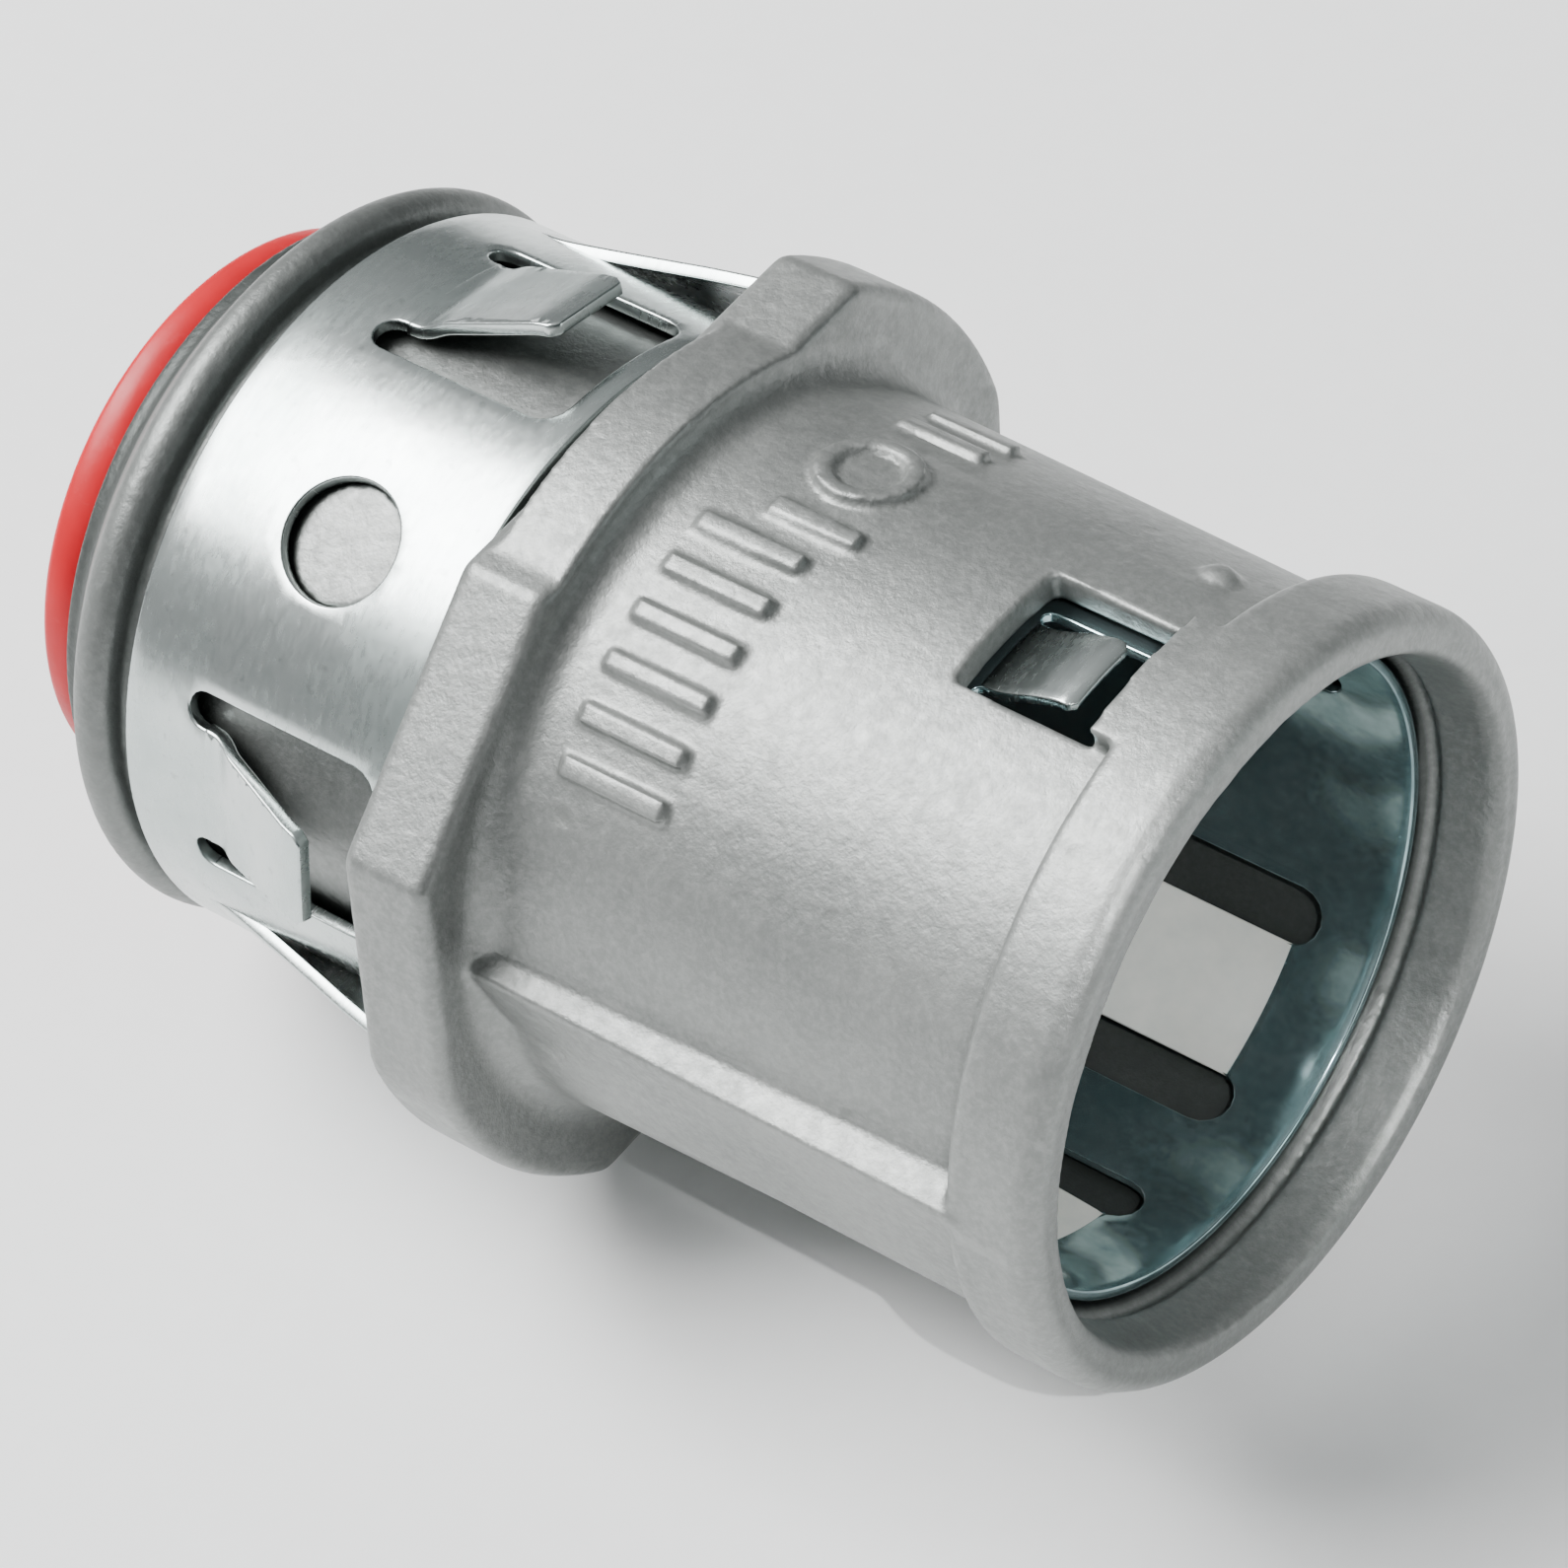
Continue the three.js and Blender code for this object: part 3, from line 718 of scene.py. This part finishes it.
def densify(loop, step):
    """The same closed loop, with points about step apart."""
    points = []
    for i in range(len(loop)):
        a, b = Vector(loop[i - 1]), Vector(loop[i])
        length = (b - a).length
        if length < 1e-6:
            continue
        count = max(1, round(length / step))
        points += [tuple(a.lerp(b, j / count)) for j in range(count)]
    return points


def inset(loop):
    """For each point of a loop, the way towards the metal, on its left."""
    ways = []
    n = len(loop)
    for i in range(n):
        a, b, c = Vector(loop[i - 1]), Vector(loop[i]), Vector(loop[(i + 1) % n])
        d1, d2 = (b - a).normalized(), (c - b).normalized()
        way = Vector((-d1.y - d2.y, d1.x + d2.x))
        if way.length < 1e-6:
            way = Vector((-d1.y, d1.x))
        way.normalize()
        ways.append(way / max(0.6, way.dot(Vector((-d1.y, d1.x)))))
    return ways


def grid_points(loops, step):
    """Points spread over a flat sheet, none of them close to one of its loops."""
    gap = step * 0.4
    boxes = []
    for loop in loops:
        xs, vs = [p[0] for p in loop], [p[1] for p in loop]
        boxes.append((min(xs), max(xs), min(vs), max(vs)))
    x0, x1, v0, v1 = boxes[0]
    nx, nv = max(2, round((x1 - x0) / step)), max(2, round((v1 - v0) / step))
    points = []
    for i in range(1, nx):
        for j in range(1, nv):
            x, v = x0 + (x1 - x0) * i / nx, v0 + (v1 - v0) * j / nv
            if not inside((x, v), loops[0]) or near((x, v), loops[0], gap):
                continue
            around = [
                loop for loop, box in zip(loops[1:], boxes[1:])
                if box[0] - step < x < box[1] + step and box[2] - step < v < box[3] + step
            ]
            if not any(inside((x, v), loop) or near((x, v), loop, gap) for loop in around):
                points.append((x, v))
    return points


def stamped(name, outline, holes, fold, wall, step, edge=SHEET_EDGE):
    """A stamped sheet with rounded edges. fold(x, v, depth) takes the flat sheet to its place.

    The two faces are filled with triangles about step wide. Rows of points then go round each
    loop, from one face over the rounded edge to the other face.
    """
    loops = []
    for k, loop in enumerate([outline] + holes):
        loop = densify(loop, step * 0.7)
        if (signed_area(loop) > 0) != (k == 0):
            loop.reverse()
        loops.append((loop, inset(loop)))
    inner_loops = [[(p[0] + w.x * edge, p[1] + w.y * edge) for p, w in zip(loop, ways)]
                   for loop, ways in loops]
    points, edges = [], []
    for loop in inner_loops:
        base = len(points)
        points += loop
        edges += [(base + i, base + (i + 1) % len(loop)) for i in range(len(loop))]
    points += grid_points(inner_loops, step)
    co, _, tris, origin, *_ = delaunay_2d_cdt([Vector(p) for p in points], edges, [], 0, 1e-7)
    place = {}
    for new, olds in enumerate(origin):
        for old in olds:
            place[old] = new
    n = len(co)
    verts = [fold(p.x, p.y, 0) for p in co] + [fold(p.x, p.y, wall) for p in co]
    faces = []
    for tri in tris:
        c = tuple(sum((co[i] for i in tri), Vector((0, 0))) / len(tri))
        if inside(c, inner_loops[0]) and not any(inside(c, loop) for loop in inner_loops[1:]):
            faces.append(tuple(tri))
            faces.append(tuple(n + i for i in reversed(tri)))
    rim = [(0.3, 0.92), (0.7, 0.7), (0.92, 0.3)]
    levels = [(a, edge * (1 - b)) for a, b in rim] + [(1.0, edge)]
    levels += [(1.0, wall - edge)] + [(a, wall - edge * (1 - b)) for a, b in reversed(rim)]
    start = 0
    for (loop, ways), inner in zip(loops, inner_loops):
        count = len(loop)
        rows = [[place[start + i] for i in range(count)]]
        for out, depth in levels:
            base = len(verts)
            for p, w in zip(inner, ways):
                verts.append(fold(p[0] - w.x * edge * out, p[1] - w.y * edge * out, depth))
            rows.append(list(range(base, base + count)))
        rows.append([n + place[start + i] for i in range(count)])
        for a, b in zip(rows, rows[1:]):
            for i in range(count):
                k = (i + 1) % count
                faces.append((a[i], b[i], b[k], a[k]))
        start += count
    obj = new_object(name, verts, faces)
    face_out(obj, drop_loose=True)
    return obj


def spline(points, count):
    """A smooth curve through [x, r] points, as count + 1 points evenly spread."""
    out = []
    n = len(points) - 1
    for s in range(count + 1):
        t = n * s / count
        i = min(int(t), n - 1)
        f = t - i
        p0, p1 = Vector(points[max(i - 1, 0)]), Vector(points[i])
        p2, p3 = Vector(points[i + 1]), Vector(points[min(i + 2, n)])
        q = 0.5 * ((2 * p1) + (p2 - p0) * f + (2 * p0 - 5 * p1 + 4 * p2 - p3) * f * f
                   + (3 * p1 - p0 - 3 * p2 + p3) * f ** 3)
        out.append(tuple(q))
    return out


class Bend:
    """A side view, measured along its own length, so that a flat tongue can be bent along it."""

    def __init__(self, points, outward):
        self.points = [Vector(p) for p in points]
        self.outward = outward
        self.run = [0.0]
        for a, b in zip(self.points, self.points[1:]):
            self.run.append(self.run[-1] + (b - a).length)
        self.length = self.run[-1]

    def __call__(self, u, depth):
        u = max(0.0, min(self.length, u))
        i = 0
        while i < len(self.run) - 2 and self.run[i + 1] < u:
            i += 1
        a, b = self.points[i], self.points[i + 1]
        f = (u - self.run[i]) / (self.run[i + 1] - self.run[i])
        before = self.points[max(i - 1, 0)]
        after = self.points[min(i + 2, len(self.points) - 1)]
        way = ((b - before).lerp(after - a, f)).normalized()
        p = a.lerp(b, f)
        inward = Vector((way.y, -way.x)) * self.outward
        return p.x + inward.x * depth, p.y + inward.y * depth


def arc_of(angle, radius):
    return math.radians(angle) * radius


def on_sheet(angles, radius, start, end, margin):
    """Where these angles fall on the flat sheet, each also counted one turn back."""
    for angle in angles:
        for whole in (0, -360):
            v = arc_of(angle + whole, radius)
            if start + margin < v < end - margin:
                yield v


def tongue_bend(root, tuck, radius, rise, count, outward=1):
    """A tongue's side view. It starts on the sheet, tuck behind its root, and follows rise."""
    level = radius + TONGUE_LIFT
    on_the_sheet = [(root - outward * tuck, level), (root - outward * 0.1, level)]
    return Bend(on_the_sheet + spline([(root, level)] + rise, count), outward)


def tongue_outline(tip, half, corner):
    """A flat tongue with its two front corners cut off."""
    return [(0, -half), (tip - corner, -half), (tip, -half + corner), (tip, half - corner),
            (tip - corner, half), (0, half)]


def u_opening(v, root, half, tongue_half, slot_end, front, corner):
    """The opening round a tongue that stays joined at its root. The front is its far end."""
    way = 1 if front > root else -1
    mid = (half + tongue_half) / 2
    r = (half - tongue_half) / 2
    upper = [(root, tongue_half), (slot_end, tongue_half)]
    upper += [(slot_end - way * r * math.sin(a), mid - r * math.cos(a))
              for a in (math.radians(22.5 * i) for i in range(1, 8))]
    upper += [(slot_end, half), (front - way * corner, half)]
    upper += [(front - way * corner * (1 - math.sin(a)), half - corner * (1 - math.cos(a)))
              for a in (math.radians(22.5 * i) for i in range(1, 4))]
    upper += [(front, half - corner)]
    lower = [(x, -y) for x, y in reversed(upper)]
    return [(x, y + v) for x, y in upper + lower]


def make_ring():
    """The split ring, with windows round its tangs and a half hole at each side of its split."""
    start = arc_of(BOSS_ANGLES[1] - 360, RING_R) + RING_GAP_HALF
    end = arc_of(BOSS_ANGLES[1], RING_R) - RING_GAP_HALF
    holes = [
        u_opening(v, TANG_ROOT, TANG_WINDOW_HALF, TANG_HALF, slot_end=TANG_ROOT - 0.45,
                  front=TANG_WINDOW_FRONT, corner=0.8)
        for v in on_sheet(TANG_ANGLES, RING_R, start, end, 3)
    ]
    holes += [arc(BOSS_X, v, BOSS_HOLE_R, 0, 352.5, 47)
              for v in on_sheet(BOSS_ANGLES[:1], RING_R, start, end, 3)]
    half = RAMP_HALF + 0.06
    bite = math.degrees(math.acos(RING_GAP_HALF / BOSS_HOLE_R))
    outline = [(RING_BACK, start)]
    outline += arc(BOSS_X, start - RING_GAP_HALF, BOSS_HOLE_R, 180 - (90 - bite), 90 - bite, 14)
    outline += [(RING_FRONT, start)]
    for v in sorted(on_sheet(RAMP_ANGLES, RING_R, start, end, 4)):
        outline += [(RING_FRONT, v - half), (RAMP_ROOT, v - half)]
        outline += [(RAMP_ROOT, v + half), (RING_FRONT, v + half)]
    outline += [(RING_FRONT, end)]
    outline += arc(BOSS_X, end + RING_GAP_HALF, BOSS_HOLE_R, 270 + bite, 270 - bite, 14)
    outline += [(RING_BACK, end)]

    def fold(x, v, depth):
        return at(x, RING_R - depth, math.degrees(v / RING_R))

    obj = stamped("snap_ring_band", outline, holes, fold, RING_WALL, step=0.42)
    finish_piece(obj, RING, "body_assembly", "snap_ring")


def make_tang(index, angle):
    """One of the narrow tongues that snap behind the box wall."""
    rise = [(TANG_ROOT + 0.3, RING_R + 0.07), (-27.3, 11.13), (-26.3, 11.50), (-25.3, 11.87),
            (-24.4, 12.2), (TANG_TIP, TANG_TIP_R)]
    bend = tongue_bend(TANG_ROOT, 0.35, RING_R, rise, 36)
    tip = bend.length
    outline = [(0, -TANG_HALF), (0.4, -1.9), (tip - 0.25, -1.52), (tip, -1.3)]
    outline += [(tip, 1.3), (tip - 0.25, 1.52), (0.4, 1.9), (0, TANG_HALF)]

    def fold(u, v, depth):
        x, r = bend(u, depth)
        curved = 1 - 0.92 * min(1, max(0, u - 0.35) / 0.9)
        return beside(x, v, r - curved * v * v / (2 * RING_R), angle)

    name = f"snap_tang_{index}"
    obj = stamped(f"snap_tongue_{index}", outline, [], fold, RING_WALL, step=0.22)
    finish_piece(obj, RING, name, name)


def make_ramp(index, angle):
    """One of the wide tongues that slope up towards the flange."""
    rise = [(RAMP_ROOT + 0.9, RING_R + 0.12), (-25.6, 11.46), (-23.0, 11.95),
            (RING_FRONT - 0.15, RAMP_TIP_R)]
    bend = tongue_bend(RAMP_ROOT, 0.35, RING_R, rise, 34)

    def fold(u, v, depth):
        x, r = bend(u, depth)
        flat = 0.35 * min(1, max(0, u - 0.4) / 5)
        return beside(x, v, r - (1 - flat) * v * v / (2 * RING_R), angle)

    name = f"ramp_tang_{index}"
    outline = tongue_outline(bend.length, RAMP_HALF, 0.3)
    obj = stamped(f"ramp_tongue_{index}", outline, [], fold, RING_WALL, step=0.3)
    finish_piece(obj, RING, name, name)


def make_clip():
    """The sleeve in the bore, with windows round its fingers and its lock tab."""
    start = arc_of(SEAM_ANGLE - 360, CLIP_R) + CLIP_GAP_HALF
    end = arc_of(SEAM_ANGLE, CLIP_R) - CLIP_GAP_HALF
    holes = [
        u_opening(v, FINGER_ROOT, FINGER_HALF + FINGER_SLOT, FINGER_HALF + 0.02,
                  slot_end=FINGER_ROOT - 0.2, front=FINGER_TIP - 0.5, corner=0.6)
        for v in on_sheet(FINGER_ANGLES, CLIP_R, start, end, 3)
    ]
    v = arc_of(WINDOW_ANGLE, CLIP_R)
    holes.append(u_opening(v, LOCK_ROOT, LOCK_HALF + 0.55, LOCK_HALF + 0.02,
                           slot_end=LOCK_ROOT - 0.1, front=WINDOW_FRONT - 0.1, corner=0.3))

    def fold(x, v, depth):
        flare = 0.1 * max(0, min(1, (x + 3.3) / 0.95)) ** 2
        return at(x, CLIP_R + flare - depth, math.degrees(v / CLIP_R))

    outline = [(CLIP_BACK, start), (CLIP_FRONT, start), (CLIP_FRONT, end), (CLIP_BACK, end)]
    obj = stamped("conduit_clip_sleeve", outline, holes, fold, CLIP_WALL, 0.42, CLIP_EDGE)
    finish_piece(obj, CLIP, "body_assembly", "conduit_clip")


def make_finger(index, angle):
    """One of the tongues that lean into the bore and grip the conduit."""
    rise = [(FINGER_ROOT - 0.9, CLIP_R - 0.1), (-8.0, 9.0), (-10.1, 8.76),
            (FINGER_TIP, FINGER_TIP_R + CLIP_WALL)]
    bend = tongue_bend(FINGER_ROOT, 0.35, CLIP_R, rise, 30, outward=-1)

    def fold(u, v, depth):
        x, r = bend(u, depth)
        flat = 0.7 * min(1, max(0, u - 0.4) / 2.5)
        return beside(x, v, r - (1 - flat) * v * v / (2 * CLIP_R), angle)

    name = f"clip_finger_{index}"
    outline = tongue_outline(bend.length, FINGER_HALF, 0.4)
    obj = stamped(f"grip_finger_{index}", outline, [], fold, CLIP_WALL, 0.25, CLIP_EDGE)
    finish_piece(obj, FINGER_PAINTED_REFLECTION, name, name)


def make_lock_tab():
    """The sleeve's small tongue that stands in the body's window and holds the sleeve there."""
    rise = [(LOCK_ROOT + 0.5, CLIP_R + 0.14), (-6.2, CLIP_R + 0.6), (-5.4, CLIP_R + 0.85),
            (LOCK_TIP, CLIP_R + 0.78)]
    bend = tongue_bend(LOCK_ROOT, 0.3, CLIP_R, rise, 24)

    def fold(u, v, depth):
        x, r = bend(u, depth)
        return beside(x, v, r - v * v / (2 * CLIP_R), WINDOW_ANGLE)

    outline = tongue_outline(bend.length, LOCK_HALF, 0.2)
    obj = stamped("lock_tab_tongue", outline, [], fold, CLIP_WALL, 0.2, CLIP_EDGE)
    finish_piece(obj, RING, "clip_lock_tab", "clip_lock_tab")


def make_throat():
    """The red liner at the box end, with a rounded rim."""
    profile = [(THROAT_INNER_END, THROAT_R + 0.1), (THROAT_INNER_END, THROAT_SLEEVE_R - 0.3)]
    profile += [(THROAT_INNER_END - 0.4, THROAT_SLEEVE_R), (-33, THROAT_SLEEVE_R)]
    profile += [(NOSE_END - 0.1, THROAT_SLEEVE_R), (NOSE_END - 0.2, THROAT_RIM_R)]
    profile += arc(THROAT_END + 0.25, THROAT_RIM_R - 0.25, 0.25, 90, 180, 8)
    profile += arc(THROAT_END + 0.4, THROAT_R + 0.38, 0.4, 180, 255, 8)
    profile += [(THROAT_END + 1.5, THROAT_R), (THROAT_INNER_END - 0.4, THROAT_R)]

    def shape(x, r, angle):
        return r + (0.012 * math.sin(math.radians(angle * 3)) if x < NOSE_END else 0)

    obj = new_object("throat_liner", *lathe(profile, 200, shape))
    face_out(obj, weld=True)
    finish_piece(obj, RED, "body_assembly", "throat_bushing")


make_body()
make_ring()
for i, tang_angle in enumerate(TANG_ANGLES, 1):
    make_tang(i, tang_angle)
for i, ramp_angle in enumerate(RAMP_ANGLES, 1):
    make_ramp(i, ramp_angle)
make_clip()
for i, finger_angle in enumerate(FINGER_ANGLES, 1):
    make_finger(i, finger_angle)
make_lock_tab()
make_throat()

# ---------- camera ----------
RIGHT = Vector((0.785262, 0.606734, -0.123441))
UP = Vector((-0.381772, 0.631425, 0.674946))
BACK = Vector((0.487457, -0.482883, 0.727468))
CAMERA_FROM_MOUTH = Vector((77.818, -93.966, 140.743)) * MM
SENSOR_MM, LENS_MM = 36, 162.475

camera_data = bpy.data.cameras.new("camera")
camera_data.sensor_width = SENSOR_MM
camera_data.lens = LENS_MM
camera_data.clip_start = 0.01
camera_data.clip_end = 10
camera = bpy.data.objects.new("camera", camera_data)
camera.matrix_world = Matrix((
    (RIGHT.x, UP.x, BACK.x, MOUTH_X + CAMERA_FROM_MOUTH.x),
    (RIGHT.y, UP.y, BACK.y, CAMERA_FROM_MOUTH.y),
    (RIGHT.z, UP.z, BACK.z, AXIS_Z + CAMERA_FROM_MOUTH.z),
    (0, 0, 0, 1),
))
bpy.context.scene.collection.objects.link(camera)
bpy.context.scene.camera = camera

# ---------- floor and lights ----------
CENTRE = Vector((0, 0, AXIS_Z))
FLOOR_HALF, FLOOR_GAP = 1.6, 0.00002


def make_floor():
    half = FLOOR_HALF
    corners = [(-half, -half, 0), (half, -half, 0), (half, half, 0), (-half, half, 0)]
    obj = new_object("floor", corners, [(0, 1, 2, 3)])
    m = Nodes("floor_paper")
    fibre = m.noise(900, 3, 0.5)
    m.link(m.tint(fibre, PAPER_DARK, PAPER_PALE), m.shader.inputs["Base Color"])
    m.set("Roughness", 0.9)
    obj.data.materials.append(m.material)
    obj.location.z = min(CAD_BOX[0][2], 0) - FLOOR_GAP


def place_light(data, name, right, up, back, distance, aim):
    """Stands a light at a distance from aim. Right, up and back are counted in the picture."""
    obj = bpy.data.objects.new(name, data)
    direction = (RIGHT * right + UP * up + BACK * back).normalized()
    obj.location = aim + direction * distance
    obj.rotation_euler = direction.to_track_quat("Z", "Y").to_euler()
    bpy.context.scene.collection.objects.link(obj)


def softbox(name, right, up, back, distance, width, height, watts, colour=(1, 1, 1)):
    """A wide soft light that shines on the middle of the object."""
    data = bpy.data.lights.new(name, "AREA")
    data.shape = "RECTANGLE"
    data.size = width
    data.size_y = height
    data.energy = watts
    data.color = colour
    place_light(data, name, right, up, back, distance, CENTRE)


def snoot(name, right, up, back, distance, aim, angle, watts):
    """A narrow light that shines on one place."""
    data = bpy.data.lights.new(name, "SPOT")
    data.energy = watts
    data.spot_size = math.radians(angle)
    data.spot_blend = 0.6
    data.shadow_soft_size = 0.012
    place_light(data, name, right, up, back, distance, aim)


def make_world():
    """A pale room, brighter overhead and towards the box end, darker in front and below."""
    world = bpy.data.worlds.new("studio")
    world.use_nodes = True
    tree = world.node_tree
    background = tree.nodes["Background"]
    place = tree.nodes.new("ShaderNodeTexCoord")
    dot = tree.nodes.new("ShaderNodeVectorMath")
    dot.operation = "DOT_PRODUCT"
    dot.inputs[1].default_value = (-0.50, -0.15, 0.85)
    ramp = tree.nodes.new("ShaderNodeValToRGB")
    ramp.color_ramp.elements[0].position = 0.0
    ramp.color_ramp.elements[0].color = ROOM_DARK
    ramp.color_ramp.elements[1].position = 0.9
    ramp.color_ramp.elements[1].color = ROOM_PALE
    tree.links.new(place.outputs["Generated"], dot.inputs[0])
    tree.links.new(dot.outputs["Value"], ramp.inputs[0])
    tree.links.new(ramp.outputs[0], background.inputs["Color"])
    background.inputs["Strength"].default_value = 0.62
    bpy.context.scene.world = world


make_floor()
make_world()
softbox("key", right=-0.63, up=0.6, back=0.47, distance=0.36, width=0.26, height=0.2, watts=3.4)
softbox("mouth", right=0.9, up=-0.1, back=0.35, distance=0.42, width=0.12, height=0.16,
        watts=0.25, colour=(0.9, 1, 1))
snoot("socket_light", right=0.12, up=0.1, back=1.0, distance=0.5, aim=at(-6, 8.0, 300),
      angle=1.5, watts=48)
